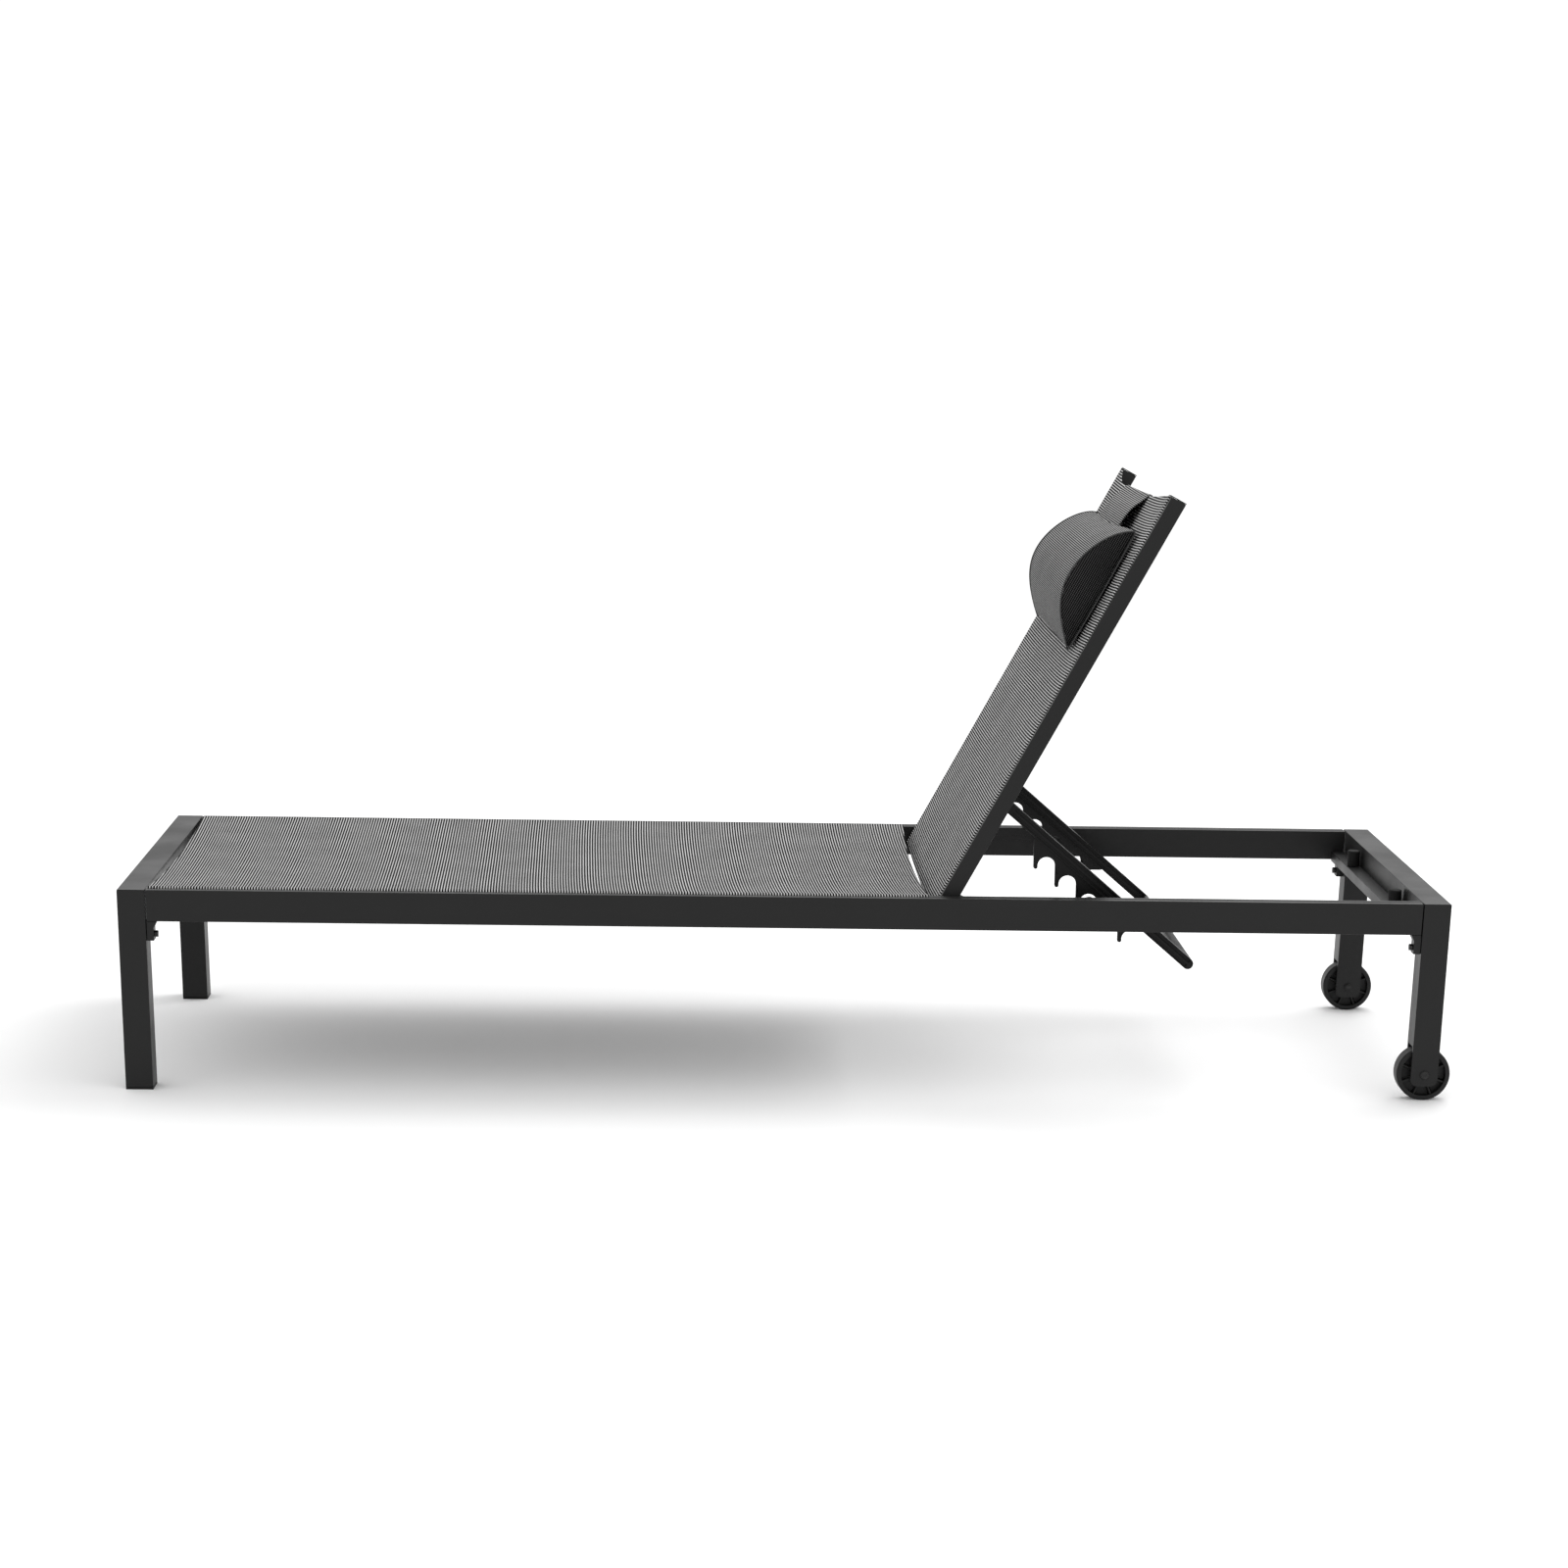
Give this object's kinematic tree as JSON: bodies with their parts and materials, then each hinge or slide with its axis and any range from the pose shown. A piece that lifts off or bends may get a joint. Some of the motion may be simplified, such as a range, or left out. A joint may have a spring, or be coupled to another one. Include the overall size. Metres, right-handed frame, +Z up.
{
  "type": "reclining sun lounger",
  "caption": "Reclining sun lounger with a powder-coated tube frame, striped textile sling seat and backrest, notched prop, wheels at the head end and a bolster headrest on a strap.",
  "frame": {"origin": "on the floor at the middle of the footprint", "axes": "+X towards the head end, +Y towards the right hand of a person lying on it, +Z up"},
  "size_m": [1.965, 0.6466, 0.8906],
  "materials": {
    "frame_powder_coat": "satin",
    "fastener_steel": "satin",
    "black_plastic": "satin",
    "prop_plastic": "semi-gloss",
    "wheel_plastic": "satin",
    "buffer_rubber": "matte",
    "sling_textile": "woven",
    "pillow_textile": "woven",
    "strap_textile": "woven"
  },
  "bodies": {
    "frame": {"foot_cross_rail": "frame_powder_coat", "head_cross_rail": "frame_powder_coat", "head_shelf_bar": "frame_powder_coat", "seat_stretcher": "frame_powder_coat", "seat_sling": "sling_textile", "foot_leg_left": "frame_powder_coat", "foot_glide_left": "black_plastic", "head_leg_left": "frame_powder_coat", "side_rail_left": "frame_powder_coat", "foot_bracket_left": "frame_powder_coat", "foot_bracket_bolt_left": "fastener_steel", "head_bracket_left": "frame_powder_coat", "head_bracket_bolt_left": "fastener_steel", "backrest_buffer_left": "buffer_rubber", "seat_spline_left": "black_plastic", "pivot_pin_left": "fastener_steel", "pivot_washer_left": "black_plastic", "hook_peg_sleeve_left": "black_plastic", "hook_peg_pin_left": "fastener_steel", "wheel_bush_left": "black_plastic", "wheel_axle_left": "fastener_steel", "axle_nut_left": "fastener_steel", "foot_leg_right": "frame_powder_coat", "foot_glide_right": "black_plastic", "head_leg_right": "frame_powder_coat", "side_rail_right": "frame_powder_coat", "foot_bracket_right": "frame_powder_coat", "foot_bracket_bolt_right": "fastener_steel", "head_bracket_right": "frame_powder_coat", "head_bracket_bolt_right": "fastener_steel", "backrest_buffer_right": "buffer_rubber", "seat_spline_right": "black_plastic", "pivot_pin_right": "fastener_steel", "pivot_washer_right": "black_plastic", "hook_peg_sleeve_right": "black_plastic", "hook_peg_pin_right": "fastener_steel", "wheel_bush_right": "black_plastic", "wheel_axle_right": "fastener_steel", "axle_nut_right": "fastener_steel"},
    "backrest": {"backrest_upper_bar": "frame_powder_coat", "backrest_lower_bar": "frame_powder_coat", "backrest_sling": "sling_textile", "headrest_strap": "strap_textile", "backrest_rail_left": "frame_powder_coat", "backrest_end_plug_left": "black_plastic", "backrest_pivot_bracket_left": "frame_powder_coat", "backrest_spline_left": "black_plastic", "backrest_rail_right": "frame_powder_coat", "backrest_end_plug_right": "black_plastic", "backrest_pivot_bracket_right": "frame_powder_coat", "backrest_spline_right": "black_plastic"},
    "prop": {"prop_arm_left": "prop_plastic", "prop_arm_right": "prop_plastic", "prop_end_bar": "prop_plastic"},
    "wheel_left": {"wheel_left": "wheel_plastic"},
    "wheel_right": {"wheel_right": "wheel_plastic"},
    "headrest": {"headrest_pillow": "pillow_textile"}
  },
  "joints": [
    {"name": "backrest_recline", "type": "hinge", "parent": "frame", "child": "backrest", "pos_m": [0.254, 0, 0.2825], "axis": [0, -1, 0], "range_deg": [-61.6, 18]},
    {"name": "prop_fold", "type": "hinge", "parent": "backrest", "child": "prop", "pos_m": [0.31356, 0, 0.43049], "axis": [0, -1, 0], "range_deg": [-27.5, 93]},
    {"name": "wheel_left_spin", "type": "hinge", "parent": "frame", "child": "wheel_left", "pos_m": [0.94249, -0.3, 0.04], "axis": [0, 1, 0], "continuous": true},
    {"name": "wheel_right_spin", "type": "hinge", "parent": "frame", "child": "wheel_right", "pos_m": [0.94249, 0.3, 0.04], "axis": [0, 1, 0], "continuous": true},
    {"name": "headrest_slide", "type": "slide", "parent": "backrest", "child": "headrest", "axis": [0.4756, 0, 0.8796], "range_m": [-0.12, 0.03]}
  ],
  "couplings": [
    {"joint": "prop_fold", "follows": "backrest_recline", "ratio": -1.5}
  ]
}
